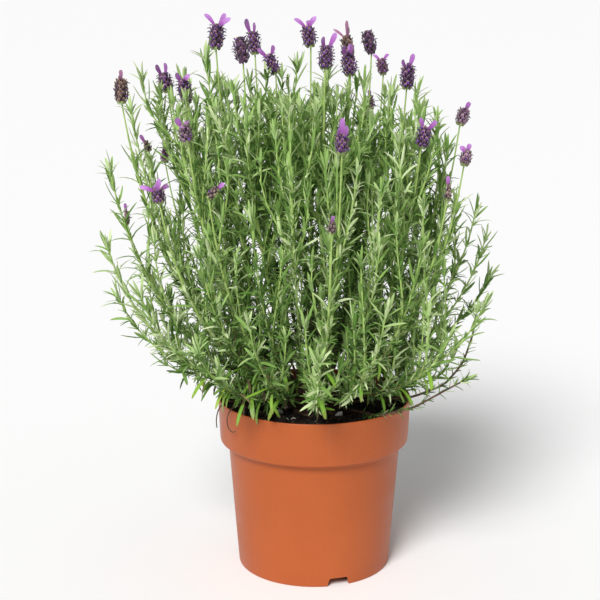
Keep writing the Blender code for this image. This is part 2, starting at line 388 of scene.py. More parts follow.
def grained(name, roughness, texture, stops, relief, distance, strength):
    """A dull material coloured by one noise and roughened by another."""
    finish = Finish(name, roughness)
    finish.colour(finish.ramp(finish.noise(*texture), stops))
    finish.bump(finish.noise(*relief), distance, strength)
    return finish.material


def toned(name, roughness, stops, grain, relief, distance, strength):
    """A dull material whose colour each copy picks by its own tone."""
    finish = Finish(name, roughness)
    body = finish.ramp(finish.attribute("tone"), stops)
    finish.colour(finish.grain(0.8, body, *grain))
    finish.bump(finish.noise(*relief), distance, strength)
    return finish.material


def peat():
    stops = [
        (0.3, (0.008, 0.005, 0.004)), (0.55, (0.026, 0.016, 0.010)), (0.75, (0.07, 0.042, 0.025))
    ]
    return grained("peat", 0.95, (260.0, 6.0, 0.7), stops, (600.0, 6.0, 0.7), 0.0012, 0.9)


def crumb_peat():
    stops = [
        (0.0, (0.010, 0.007, 0.005)), (0.6, (0.035, 0.02, 0.012)), (1.0, (0.12, 0.065, 0.035))
    ]
    grain = (900.0, 4.0, [(0.3, 0.6), (0.7, 1.0)])
    return toned("peat crumbs", 0.9, stops, grain, (1500.0, 4.0), 0.0004, 0.7)


def perlite():
    stops = [(0.3, (0.55, 0.52, 0.46)), (0.6, (0.82, 0.80, 0.76))]
    return grained("perlite", 0.8, (700.0, 4.0), stops, (1400.0, 4.0), 0.0004, 0.7)


def bark():
    stops = [(0.28, (0.030, 0.016, 0.010)), (0.5, (0.095, 0.05, 0.03)), (0.72, (0.24, 0.14, 0.09))]
    texture = (160.0, 6.0, 0.65, (1, 1, 0.35))
    return grained("bark", 0.85, texture, stops, (400.0, 5.0, 0.6, (1, 1, 0.3)), 0.0008, 0.8)


def dry_leaf_skin():
    stops = [(0.0, (0.07, 0.04, 0.02)), (0.5, (0.20, 0.12, 0.055)), (1.0, (0.36, 0.27, 0.15))]
    grain = (700.0, 4.0, [(0.3, 0.65), (0.7, 1.0)])
    return toned("dry leaf skin", 0.8, stops, grain, (900.0, 3.0), 0.0004, 0.5)


def stem_skin():
    """Green when young, brown bark where age is near one."""
    finish = Finish("stem skin", 0.6)
    age = finish.attribute("age")
    fresh = finish.ramp(
        finish.noise(90.0, 4.0),
        [(0.3, (0.24, 0.37, 0.075)), (0.6, (0.38, 0.52, 0.15)), (0.8, (0.47, 0.60, 0.24))],
    )
    woody = finish.ramp(
        finish.noise(240.0, 5.0, 0.6),
        [(0.3, (0.028, 0.014, 0.009)), (0.55, (0.10, 0.052, 0.032)), (0.75, (0.23, 0.14, 0.085))],
    )
    finish.colour(finish.mix(finish.grey_ramp(age, [(0.45, 0.0), (0.85, 1.0)]), fresh, woody))
    finish.bump(finish.noise(900.0, 4.0), 0.0003, 0.6)
    return finish.material


def leaf_skin():
    """Felted sage green: silvery when young, deeper green below, paler midrib."""
    finish = Finish("leaf skin", 0.66)
    finish.shader.inputs["Specular IOR Level"].default_value = 0.22
    finish.shader.inputs["Sheen Weight"].default_value = 0.03
    finish.shader.inputs["Sheen Roughness"].default_value = 0.5
    # Tone is random per leaf and shoot, lowered by painted shade deep inside the bush; low tone is
    # darker
    tone = finish.attribute("tone")
    age = finish.attribute("age")
    along = finish.attribute("along")
    young = finish.ramp(
        tone,
        [(0.0, (0.095, 0.220, 0.028)), (0.5, (0.275, 0.450, 0.120)), (1.0, (0.62, 0.74, 0.42))],
    )
    grown = finish.ramp(
        tone,
        [(0.0, (0.028, 0.078, 0.006)), (0.5, (0.165, 0.300, 0.058)), (1.0, (0.560, 0.670, 0.370))],
    )
    shaded = finish.mix(age, young, grown)
    foot_to_tip = finish.ramp(
        along, [(0.0, (0.80, 0.95, 0.60)), (0.3, (1.0, 1.0, 1.0)), (1.0, (1.04, 1.0, 0.95))]
    )
    body = finish.mix(1.0, shaded, foot_to_tip, "MULTIPLY")
    body = finish.midrib(body, 0.22, 0.14, (0.40, 0.52, 0.26))
    finish.colour(finish.grain(0.8, body, 1400.0, 3.0, [(0.3, 0.78), (0.7, 1.08)]))
    finish.bump(finish.noise(2200.0, 2.0), 0.00015, 0.4)
    return finish.material


def old_leaf_skin():
    """The broad lowest leaves: bright yellow-green, duller and browner where tone is high."""
    finish = Finish("old leaf skin", 0.5)
    tone = finish.attribute("tone")
    along = finish.attribute("along")
    body = finish.ramp(
        tone,
        [(0.0, (0.145, 0.33, 0.020)), (0.55, (0.235, 0.44, 0.035)), (0.9, (0.34, 0.47, 0.05)),
         (1.0, (0.26, 0.20, 0.06))],
    )
    body = finish.midrib(body, 0.5, 0.12, (0.42, 0.58, 0.14))
    tip = finish.grey_ramp(along, [(0.86, 0.0), (1.0, 0.55)])
    body = finish.mix(tip, body, (0.24, 0.17, 0.05))
    finish.colour(finish.grain(0.7, body, 500.0, 4.0, [(0.35, 0.75), (0.6, 1.0)]))
    finish.bump(finish.noise(900.0, 3.0), 0.0003, 0.4)
    return finish.material


def scale_skin(name, heart, rim, rim_start):
    """A flower head's scales: dark heart, lighter papery rim towards the tip and the sides."""
    finish = Finish(name, 0.7)
    finish.shader.inputs["Sheen Weight"].default_value = 0.25
    tone = finish.attribute("tone")
    along = finish.attribute("along")
    edge = finish.maths("MAXIMUM", along, finish.maths("MULTIPLY", finish.side(), 1.9))
    body = finish.mix(finish.grey_ramp(edge, [(rim_start, 0.0), (1.0, 0.95)]), heart, rim)
    shade = finish.grey_ramp(tone, [(0.0, 0.55), (1.0, 1.25)])
    body = finish.mix(1.0, body, shade, "MULTIPLY")
    finish.colour(finish.grain(0.8, body, 1600.0, 3.0, [(0.3, 0.7), (0.7, 1.1)]))
    finish.bump(finish.noise(2000.0, 3.0), 0.0003, 0.6)
    return finish.material


def ear_skin(name, foot, middle, tip):
    """The thin upright petals: veined along their length."""
    finish = Finish(name, 0.55)
    finish.shader.inputs["Sheen Weight"].default_value = 0.3
    along = finish.attribute("along")
    across = finish.attribute("across")
    body = finish.ramp(along, [(0.0, foot), (0.45, middle), (1.0, tip)])
    veins = finish.maths("SINE", finish.maths("MULTIPLY", across, 44.0))
    veins = finish.grey_ramp(finish.maths("MULTIPLY_ADD", veins, 0.5), [(0.25, 0.78), (0.8, 1.05)])
    body = finish.mix(0.7, body, veins, "MULTIPLY")
    finish.colour(finish.grain(0.8, body, 500.0, 3.0, [(0.3, 0.8), (0.7, 1.1)]))
    finish.bump(finish.noise(800.0, 3.0), 0.0004, 0.5)
    return finish.material


# ---- shapes that repeat


class Shape:
    """A small closed mesh as arrays: corners, faces, places along and across it, and its map."""

    def __init__(self, corners, faces, along, across, chart):
        self.corners = np.asarray(corners, float)
        self.sizes = np.array([len(face) for face in faces])
        self.loops = np.concatenate([np.asarray(face) for face in faces])
        self.along = np.asarray(along, float)
        self.across = np.asarray(across, float)
        self.chart = np.asarray(chart, float)


def shape_of(piece):
    """Reads a modelled piece as a Shape and removes it. It lies along +Y, its upper side is +Z."""
    mesh = piece.data
    mesh.transform(piece.matrix_world)
    corners = np.array([vertex.co for vertex in mesh.vertices])
    length = corners[:, 1].max()
    width = np.abs(corners[:, 0]).max()
    along = np.clip(corners[:, 1] / length, 0, 1)
    across = 0.5 + 0.5 * corners[:, 0] / width
    faces = [list(face.vertices) for face in mesh.polygons]
    chart = []
    for face in mesh.polygons:
        middle = 0.26 if face.normal.z > 0 else 0.74
        for index in face.vertices:
            chart.append((middle + 0.42 * (across[index] - 0.5), 0.06 + 0.88 * along[index]))
    bpy.data.objects.remove(piece)
    return Shape(corners, faces, along, across, chart)


def blade(length, width, thickness, sections, curl, groove):
    """A leaf or petal drawn out from a four-sided foot: sections are (place along it, width)."""
    deselect()
    first_width = max(sections[0][1] * width, 0.0002)
    bpy.ops.mesh.primitive_circle_add(
        vertices=4, radius=0.5, fill_type="NGON", rotation=(-math.pi / 2, 0, 0)
    )
    piece = bpy.context.object
    bpy.ops.object.transform_apply(location=False, rotation=True, scale=False)
    bpy.ops.object.mode_set(mode="EDIT")
    bpy.ops.mesh.select_all(action="SELECT")
    bpy.ops.transform.resize(value=(first_width, 1, thickness))
    place = Vector((0, 0, 0))
    slope = 0.0
    for (before, old_share), (here, share) in zip(sections, sections[1:]):
        run = (here - before) * length
        slope += curl * (here - before)
        step = Vector((0, run * math.cos(slope), run * math.sin(slope)))
        place += step
        bpy.ops.mesh.extrude_region_move(TRANSFORM_OT_translate={"value": tuple(step)})
        narrow = share / old_share
        thin = max(narrow, 0.45) if narrow < 1 else 1.0
        bpy.ops.transform.resize(value=(narrow, 1, thin), center_override=tuple(place))
    bpy.ops.mesh.select_all(action="SELECT")
    bpy.ops.mesh.normals_make_consistent(inside=False)
    bpy.ops.object.mode_set(mode="OBJECT")
    for vertex in piece.data.vertices:
        if abs(vertex.co.x) > 0.0001:
            vertex.co.z += groove * abs(vertex.co.x)
    return shape_of(piece)


def blades(size, sections, bends):
    """The same blade with several bends: (curl, groove)."""
    return [blade(*size, sections, curl, groove) for curl, groove in bends]


# Length, width and thickness
LONG_LEAF = (0.026, 0.0033, 0.0009)
SHORT_LEAF = (0.010, 0.0017, 0.0008)
BROAD_LEAF = (0.036, 0.0056, 0.0009)
SCALE = (0.0052, 0.0044, 0.0009)
COROLLA = (0.0026, 0.0021, 0.0009)
EAR = (0.012, 0.0052, 0.0005)

LONG_SECTIONS = [(0, 0.42), (0.16, 0.72), (0.42, 1.0), (0.68, 0.94), (0.88, 0.62), (1.0, 0.14)]
SHORT_SECTIONS = [(0, 0.5), (0.4, 1.0), (0.78, 0.8), (1.0, 0.18)]
BROAD_SECTIONS = [
    (0, 0.3), (0.14, 0.6), (0.4, 0.95), (0.66, 1.0), (0.86, 0.8), (0.96, 0.45), (1.0, 0.12)
]
SCALE_SECTIONS = [(0, 0.55), (0.35, 0.95), (0.7, 1.0), (0.9, 0.66), (1.0, 0.2)]
EAR_SECTIONS = [(0, 0.3), (0.22, 0.62), (0.5, 0.92), (0.75, 1.0), (0.92, 0.72), (1.0, 0.25)]


def lump(detail, roughness, rng):
    """A rough little stone of unit radius."""
    deselect()
    bpy.ops.mesh.primitive_ico_sphere_add(subdivisions=detail, radius=1.0)
    piece = bpy.context.object
    for vertex in piece.data.vertices:
        vertex.co *= 1.0 + roughness * (rng.random() - 0.5)
    corners = np.array([vertex.co for vertex in piece.data.vertices])
    faces = [list(face.vertices) for face in piece.data.polygons]
    around = np.arctan2(corners[:, 1], corners[:, 0]) / (2 * math.pi) + 0.5
    chart = []
    for face in faces:
        base = around[face[0]]
        for index in face:
            turn = around[index] + round(base - around[index])
            chart.append((0.1 + 0.8 * turn, 0.5 + 0.4 * corners[index, 2]))
    bpy.data.objects.remove(piece)
    return Shape(corners, faces, around, around, np.clip(chart, 0.02, 0.98))


def tube(route, radii, sides):
    """A closed tube along a route, as a Shape."""
    route = np.asarray(route, float)
    tangents, normals = carried_frames(route)
    binormals = np.cross(tangents, normals)
    angles = np.arange(sides) * 2 * math.pi / sides
    ring = np.cos(angles)[None, :, None] * normals[:, None]
    ring = ring + np.sin(angles)[None, :, None] * binormals[:, None]
    corners = (route[:, None] + ring * np.asarray(radii)[:, None, None]).reshape(-1, 3)
    count = len(route)
    faces = []
    chart = []
    for i in range(count - 1):
        for j in range(sides):
            k = (j + 1) % sides
            faces.append([i * sides + j, i * sides + k, (i + 1) * sides + k, (i + 1) * sides + j])
            for row, column in ((i, j), (i, j + 1), (i + 1, j + 1), (i + 1, j)):
                chart.append((row / (count - 1), column / sides))
    faces.append(list(range(sides))[::-1])
    faces.append(list(range((count - 1) * sides, count * sides)))
    for end in (0.0, 1.0):
        chart += [(end + (0.001 if end == 0 else -0.001), j / sides) for j in range(sides)]
    along = np.repeat(np.linspace(0, 1, count), sides)
    across = np.tile(np.arange(sides) / sides, count)
    return Shape(corners, faces, along, across, chart)


def carried_frames(route):
    """Tangents along a route, and normals carried along it without twist."""
    tangents = np.gradient(route, axis=0)
    tangents /= np.linalg.norm(tangents, axis=1)[:, None]
    normals = [unit(np.cross(tangents[0], (0.31, 0.95, 0.05)))]
    for tangent in tangents[1:]:
        normals.append(unit(normals[-1] - tangent * (normals[-1] @ tangent)))
    return tangents, np.array(normals)


class Growth:
    """Gathers copies of shapes and makes one mesh of them, with tone, age and place attributes."""

    def __init__(self):
        self.tubes = []
        self.copies = {}

    def add_tube(self, route, radii, finish, tone, age, sides=STEM_SIDES):
        """Age is one number, or one for each place of the route."""
        ages = np.repeat(np.broadcast_to(np.asarray(age, float), len(route)), sides)
        self.tubes.append((tube(route, radii, sides), finish, tone, ages))

    def add(self, shape, finish, matrix, tone, age):
        self.copies.setdefault((id(shape), finish), (shape, finish, [], [], []))
        entry = self.copies[(id(shape), finish)]
        entry[2].append(matrix)
        entry[3].append(tone)
        entry[4].append(age)

    def build(self, name, materials):
        batches = []
        for shape, finish, tone, ages in self.tubes:
            batches.append((shape, finish, np.eye(4)[None], np.array([tone]), ages[None]))
        for shape, finish, matrices, tones, ages in self.copies.values():
            spread = np.repeat(np.array(ages)[:, None], len(shape.corners), axis=1)
            batches.append((shape, finish, np.array(matrices), np.array(tones), spread))
        leaf_total = sum(len(batch[2]) for batch in batches[len(self.tubes) :])
        strip = TUBE_STRIP if self.tubes else 0.0
        columns = max(1, math.ceil(math.sqrt(leaf_total)))
        rows = max(1, math.ceil(leaf_total / columns))
        keys = ("corners", "loops", "sizes", "finish", "tone", "age", "along", "across", "chart")
        gathered = {key: [] for key in keys}
        base = 0
        cell = 0
        for number, (shape, finish, matrices, tones, ages) in enumerate(batches):
            copies = len(matrices)
            points = len(shape.corners)
            placed = np.einsum("kij,nj->kni", matrices[:, :3, :3], shape.corners)
            placed = placed + matrices[:, None, :3, 3]
            gathered["corners"].append(placed.reshape(-1, 3))
            offsets = base + np.arange(copies)[:, None] * points
            gathered["loops"].append((shape.loops[None] + offsets).ravel())
            gathered["sizes"].append(np.tile(shape.sizes, copies))
            gathered["finish"].append(np.full(copies * len(shape.sizes), finish))
            gathered["tone"].append(np.repeat(tones, points))
            gathered["age"].append(ages.ravel())
            gathered["along"].append(np.tile(shape.along, copies))
            gathered["across"].append(np.tile(shape.across, copies))
            if number < len(self.tubes):
                low = strip * number / len(self.tubes)
                high = strip * (number + 0.92) / len(self.tubes)
                chart = shape.chart * (0.998, high - low) + (0.001, low)
            else:
                order = cell + np.arange(copies)
                size = np.array([1 / columns, (1 - strip) / rows])
                corner = np.stack([order % columns, order // columns], axis=1) * size + (0, strip)
                chart = (shape.chart[None] * size + corner[:, None]).reshape(-1, 2)
                cell += copies
            gathered["chart"].append(chart)
            base += copies * points
        joined = {key: np.concatenate(value) for key, value in gathered.items()}
        return self.make_object(name, materials, joined)

    @staticmethod
    def make_object(name, materials, data):
        mesh = bpy.data.meshes.new(name)
        mesh.vertices.add(len(data["corners"]))
        mesh.vertices.foreach_set("co", data["corners"].astype(np.float32).ravel())
        mesh.loops.add(len(data["loops"]))
        mesh.loops.foreach_set("vertex_index", data["loops"].astype(np.int32))
        starts = np.concatenate([[0], np.cumsum(data["sizes"])[:-1]])
        mesh.polygons.add(len(data["sizes"]))
        mesh.polygons.foreach_set("loop_start", starts.astype(np.int32))
        mesh.update(calc_edges=True)
        for material in materials:
            mesh.materials.append(material)
        mesh.polygons.foreach_set("material_index", data["finish"].astype(np.int32))
        for key in ("tone", "age", "along", "across"):
            attribute = mesh.attributes.new(key, "FLOAT", "POINT")
            attribute.data.foreach_set("value", data[key].astype(np.float32))
        chart = mesh.uv_layers.new(name="OFBake")
        chart.data.foreach_set("uv", data["chart"].astype(np.float32).ravel())
        mesh.shade_smooth()
        mesh.validate()
        piece = bpy.data.objects.new(name, mesh)
        bpy.context.scene.collection.objects.link(piece)
        return piece


# ---- routes


def rings_of(node):
    """Centres and radii of a stem solid's rings, from its foot to its tip."""
    mesh = frame["nodes"][node].data
    corners = np.array([vertex.co for vertex in mesh.vertices])
    keys = np.round(corners * 1e5).astype(int)
    _, first, twin = np.unique(keys, axis=0, return_index=True, return_inverse=True)
    twin = twin.ravel()
    points = corners[first]
    beside = [set() for _ in points]
    for edge in mesh.edges:
        a, b = twin[edge.vertices[0]], twin[edge.vertices[1]]
        if a != b:
            beside[a].add(b)
            beside[b].add(a)
    layer = [i for i in range(len(points)) if points[i, 2] < points[:, 2].min() + 0.0001]
    seen = set(layer)
    centres = []
    radii = []
    while layer:
        centre = points[layer].mean(0)
        centres.append(centre)
        radii.append(np.linalg.norm(points[layer] - centre, axis=1).mean())
        layer = sorted({j for i in layer for j in beside[i]} - seen)
        seen |= set(layer)
    return np.array(centres), np.array(radii)


class Line:
    """A route with even steps: places, tangents and carried normals at a length along it."""

    def __init__(self, points):
        points = np.asarray(points, float)
        spans = np.linalg.norm(np.diff(points, axis=0), axis=1)
        lengths = np.concatenate([[0], np.cumsum(spans)])
        self.length = lengths[-1]
        count = max(4, int(self.length / LINE_STEP) + 1)
        self.stations = np.linspace(0, self.length, count)
        self.points = np.stack(
            [np.interp(self.stations, lengths, points[:, axis]) for axis in range(3)], axis=1
        )
        for _ in range(SMOOTHING_ROUNDS):
            self.points[1:-1] = (self.points[:-2] + 2 * self.points[1:-1] + self.points[2:]) / 4
        self.tangents, self.normals = carried_frames(self.points)

    def at(self, length):
        last = len(self.points) - 1
        index = int(np.clip(round(length / self.length * last), 0, last))
        return self.points[index], self.tangents[index], self.normals[index]


def bezier(start, near_start, near_end, end):
    t = np.linspace(0, 1, CURVE_POINTS)[:, None]
    s = 1 - t
    return s**3 * start + 3 * s * s * t * near_start + 3 * s * t * t * near_end + t**3 * end


def reach_at(height, angle):
    """How far the bush reaches from the pot's axis at a height, in a direction, in millimetres."""
    left = np.interp(height, OUTLINE[:, 0], OUTLINE[:, 1])
    right = np.interp(height, OUTLINE[:, 0], OUTLINE[:, 2])
    side = left if math.cos(angle) < 0 else right
    swell = np.interp(height, OUTLINE[:, 0], (OUTLINE[:, 1] + OUTLINE[:, 2]) / 2)
    depth = DEPTH_REACH * swell / 180
    return side * depth / math.hypot(depth * math.cos(angle), side * math.sin(angle))


# ---- leaves on a stem


def perpendicular(tangent, normal, angle):
    return math.cos(angle) * normal + math.sin(angle) * np.cross(tangent, normal)


def leaf_matrix(place, direction, upper, length_scale, width_scale):
    """Puts a blade's foot at a place, its length along a direction, its upper side that way."""
    direction = unit(direction)
    across = unit(np.cross(direction, upper))
    face = np.cross(across, direction)
    matrix = np.eye(4)
    matrix[:3, 0] = across * width_scale
    matrix[:3, 1] = direction * length_scale
    matrix[:3, 2] = face * (0.5 * width_scale + 0.5 * length_scale)
    matrix[:3, 3] = place
    return matrix


class Planter:
    """Holds the leaf shapes and the random draws, and clothes stems with leaves."""

    def __init__(self, rng):
        self.rng = rng
        self.long = blades(LONG_LEAF, LONG_SECTIONS, ((-0.25, 0.35), (0.35, 0.25), (-0.9, 0.3)))
        self.short = blades(SHORT_LEAF, SHORT_SECTIONS, ((-0.5, 0.3), (0.4, 0.3)))
        self.broad = blades(BROAD_LEAF, BROAD_SECTIONS, ((-0.7, 0.2), (-1.5, 0.15), (0.3, 0.25)))

    def leaf(self, growth, shapes, finish, place, direction, upper, length, width, tone, age):
        shape = shapes[self.rng.integers(len(shapes))]
        span = length * shape.corners[:, 1].max()
        tip = np.abs(place + unit(direction) * span)
        over = max(tip[0] - LEAF_LIMIT[0], tip[1] - LEAF_LIMIT[1], 0.0)
        length *= max(0.35, 1 - over / span)
        # Painted shade: leaves near the axis and below the top of the bush get a lower tone, so
        # darker
        inside = 1 - min(1.0, math.hypot(place[0] / 0.165, place[1] / 0.150))
        tone -= 0.75 * inside * min(1.0, max(0.0, (0.475 - place[2]) / 0.08))
        matrix = leaf_matrix(place, direction, upper, length, width)
        growth.add(shape, finish, matrix, float(np.clip(tone, 0, 1)), float(np.clip(age, 0, 1)))

    def node_leaf(self, growth, shapes, place, tangent, around, tilt, length, width, tone, age):
        """One leaf at a node: tilt is its angle from the stem."""
        direction = math.cos(tilt) * tangent + math.sin(tilt) * around
        upper = math.sin(tilt) * tangent - math.cos(tilt) * around
        twist = self.rng.normal(0, 0.25)
        side = np.cross(direction, upper)
        upper = math.cos(twist) * upper + math.sin(twist) * side
        self.leaf(growth, shapes, 0, place, direction, upper, length, width, tone, age)

    def clothe(self, growth, line, start, end, age_start, age_end, size):
        """Opposite leaf pairs with small leaves in their axils, from start to end of a line."""
        rng = self.rng
        length = start + rng.uniform(0, 0.4) * NODE_STEP
        turn = rng.uniform(0, math.pi)
        shade = rng.normal(0.06, 0.2)
        while length < end:
            share = (length - start) / max(end - start, 1e-6)
            age = age_start + (age_end - age_start) * share
            place, tangent, normal = line.at(length)
            young = 1 - age
            tilt = math.radians(25 + 24 * age)
            for side in (0, math.pi):
                around = perpendicular(tangent, normal, turn + side + rng.normal(0, 0.15))
                own_tilt = tilt + rng.normal(0, 0.16)
                grown = size * rng.uniform(0.7, 1.1) * (0.60 + 0.45 * young)
                if rng.random() < 0.96 - 0.35 * age:
                    self.node_leaf(
                        growth, self.long, place, tangent, around, own_tilt, grown,
                        rng.uniform(0.72, 1.02), rng.normal(0.52 + shade, 0.26),
                        age + rng.normal(0, 0.12),
                    )
                for _ in range(rng.integers(0, 4) + int(5.2 * age)):
                    spread = perpendicular(tangent, normal, turn + side + rng.normal(0, 0.75))
                    lean = abs(own_tilt - 0.15 + rng.normal(0, 0.4))
                    self.node_leaf(
                        growth, self.short, place + around * 0.0008, tangent, spread, lean,
                        rng.uniform(0.55, 1.3) * size, rng.uniform(0.7, 1.1),
                        rng.normal(0.64 + shade, 0.28), age - 0.2 + rng.normal(0, 0.2),
                    )
            turn += math.pi / 2 + rng.normal(0, 0.12)
            length += NODE_STEP * rng.uniform(0.75, 1.2) * (0.75 + 0.65 * young)

    def tuft(self, growth, line, size, age):
        """Upright young leaves that end a shoot."""
        rng = self.rng
        turn = rng.uniform(0, math.pi)
        for back, count, tilt in ((0.005, 4, 0.42), (0.0015, 4, 0.22)):
            place, tangent, normal = line.at(line.length - back)
            for i in range(count):
                around = perpendicular(tangent, normal, turn + i * 2 * math.pi / count)
                self.node_leaf(
                    growth, self.long, place, tangent, around, abs(tilt + rng.normal(0, 0.1)),
                    size * rng.uniform(0.5, 0.9), rng.uniform(0.65, 0.9),
                    rng.normal(0.7, 0.18), age,
                )
            turn += math.pi / count

    def side_shoot(self, growth, start, tangent, tip, age, size):
        """A leafy side shoot from a place on a stem to its own tip."""
        gap = np.linalg.norm(tip - start)
        rise = np.array([0.0, 0.0, 0.48 * gap]) + 0.06 * (tip - start) * (1, 1, 0)
        line = Line(bezier(start, start + 0.3 * gap * tangent, tip - rise, tip))
        wave = self.rng.normal(0, 0.0011, 3)
        sway = np.sin(np.linspace(0, math.pi * 2, len(line.points)))[:, None] * wave
        line.points = line.points + sway
        stations = np.linspace(0, len(line.points) - 1, max(5, int(gap / 0.014))).astype(int)
        radii = np.linspace(0.0011, 0.0006, len(stations))
        ages = np.linspace(min(age + 0.1, 0.6), 0.1, len(stations))
        growth.add_tube(line.points[stations], radii, 1, self.rng.random(), ages)
        self.clothe(growth, line, 0.012, line.length - 0.004, age, 0.0, size)
        self.tuft(growth, line, size, 0.0)


# ---- the plant


def stem_record(node):
    """A stem's line, where its foliage starts and ends, and its flower head's foot and top."""
    centres, radii = rings_of(node)
    flowering = node.startswith("flowering")
    last = len(centres) - 7 if flowering else len(centres) - 1
    line = Line(centres[: last + 1])
    lengths = np.concatenate([[0], np.cumsum(np.linalg.norm(np.diff(centres, axis=0), axis=1))])
    leafy = np.nonzero(radii[: last + 1] > 0.003)[0]
    foliage_end = lengths[leafy[-1]] + 0.012 if flowering else lengths[last]
    return {
        "node": node,
        "line": line,
        "foliage_end": foliage_end,
        "head_foot": centres[last],
        "head_top": centres[-1],
        "flowering": flowering,
        "growth": Growth(),
    }


def grow_main_stem(planter, stem):
    line = stem["line"]
    rng = planter.rng
    count = max(8, int(line.length / 0.016))
    stations = np.linspace(0, len(line.points) - 1, count).astype(int)
    lengths = line.stations[stations]
    woody = np.interp(lengths, [0, 0.03, 0.1], [0.0024, 0.0017, 0.0014])
    end = stem["foliage_end"]
    thin = np.interp(lengths, [end, end + 0.02], [0.0013, 0.00075])
    radii = np.minimum(woody, thin) if stem["flowering"] else np.linspace(1, 0.5, count) * woody
    places = [0, WOODY_STRETCH, WOODY_STRETCH + 0.08, line.length]
    ages = np.interp(lengths, places, [1, 0.9, 0.35, 0])
    growth = stem["growth"]
    growth.add_tube(line.points[stations], radii, 1, rng.random(), ages)
    planter.clothe(growth, line, BARE_FOOT, end, 1.0, 0.15, 1.0)
    if not stem["flowering"]:
        planter.tuft(growth, line, 1.0, 0.0)


def side_tips(rng):
    """Tips for the side shoots: the named ones, a layer over the whole outline, and some inside."""
    tips = [(np.array(tip) * MM, 0.105) for tip in CROWN_TIPS]
    for i in range(OUTER_SHOOTS):
        height = 205 + 265 * ((i + 0.5) / OUTER_SHOOTS) ** 0.9
        angle = i * GOLDEN_TURN
        depth_in = rng.random() ** 1.2 * 0.6
        reach = reach_at(height, angle) * (1 - depth_in) - 6
        height += rng.normal(0, 8)
        tip = np.array([reach * math.cos(angle), reach * math.sin(angle), height])
        tips.append((tip * MM, rng.uniform(0.06, 0.11)))
    for i in range(INNER_SHOOTS):
        angle = i * GOLDEN_TURN
        reach = 125 * math.sqrt((i + 0.5) / INNER_SHOOTS)
        height = (470 if math.cos(angle) < 0.4 else 445) - rng.uniform(0, 60)
        tip = np.array([reach * math.cos(angle) - 15, reach * math.sin(angle), height])
        tips.append((tip * MM, rng.uniform(0.08, 0.12)))
    return tips


def grow_side_shoots(planter, stems):
    """Each side shoot leaves the stem that passes nearest below its tip."""
    rng = planter.rng
    for tip, length in side_tips(rng):
        outward = np.array([tip[0], tip[1], 0.0])
        wanted = tip - UP * length * 0.95 - outward * 0.14
        best = None
        for stem in stems:
            line = stem["line"]
            usable = (line.stations > 0.05) & (line.stations < stem["foliage_end"] - 0.01)
            distance = np.linalg.norm(line.points - wanted, axis=1)
            distance[~usable] = 9.0
            index = int(distance.argmin())
            if best is None or distance[index] < best[0]:
                best = (distance[index], stem, index)
        _, stem, index = best
        start = stem["line"].points[index]
        tangent = stem["line"].tangents[index]
        height_share = np.clip((tip[2] - 0.2) / 0.28, 0, 1)
        age = 0.75 - 0.45 * height_share
        planter.side_shoot(stem["growth"], start, tangent, tip, age, rng.uniform(0.72, 0.98))


def grow_low_leaves(planter, stems):
    """Broad yellow-green leaves low on the outer stems, some hanging over the rim."""
    rng = planter.rng
    for stem in stems:
        line = stem["line"]
        for length in np.arange(0.045, min(stem["foliage_end"], 0.15), 0.0085):
            place = line.at(length)[0]
            if place[2] > LOW_LEAF_TOP or rng.random() < 0.45:
                continue
            outward = unit(np.array([place[0], place[1], 0.0]))
            heading = outward + rng.normal(0, 0.55, 3) * (1, 1, 0.25)
            heading[2] = rng.uniform(-0.9, 0.35)
            upper = UP + 0.3 * outward
            planter.leaf(
                stem["growth"], planter.broad, 2, place, heading, upper,
                rng.uniform(0.5, 0.9), rng.uniform(0.5, 0.85), rng.random() ** 1.3, 0.8,
            )
        for length in np.arange(0.02, 0.11, 0.012):
            place, tangent, normal = line.at(length)
            if rng.random() < 0.45:
                continue
            around = perpendicular(tangent, normal, rng.uniform(0, 2 * math.pi))
            heading = around + 0.2 * tangent - UP * rng.uniform(0.0, 0.9)
            planter.leaf(
                stem["growth"], planter.short + planter.long[2:], 3, place, heading, UP + 0.01,
                rng.uniform(0.5, 1.0), rng.uniform(0.5, 0.9), rng.random(), 1.0,
            )


def grow_dark_twigs(planter, stems):
    """Bare dark twigs that arch out low, with tufts of small leaves."""
    rng = planter.rng
    by_name = {stem["node"]: stem for stem in stems}
    for node, points in DARK_TWIGS.items():
        growth = by_name[node]["growth"]
        line = Line(np.array(points) * MM)
        route = line.points[np.linspace(0, len(line.points) - 1, TWIG_STATIONS).astype(int)]
        radii = np.linspace(0.0015, 0.0008, TWIG_STATIONS)
        growth.add_tube(route, radii, 1, 0.3, 1.0)
        for length in np.arange(0.045, line.length, 0.0052):
            place, tangent, normal = line.at(length)
            for _ in range(rng.integers(1, 5)):
                around = perpendicular(tangent, normal, rng.uniform(0, 2 * math.pi))
                planter.node_leaf(
                    growth, planter.short, place, tangent, around, rng.uniform(0.4, 1.1),
                    rng.uniform(0.6, 1.3), rng.uniform(0.7, 1.1), rng.random(), rng.uniform(0.3, 1),
                )
        planter.tuft(growth, line, 0.7, 0.3)


# ---- flower heads


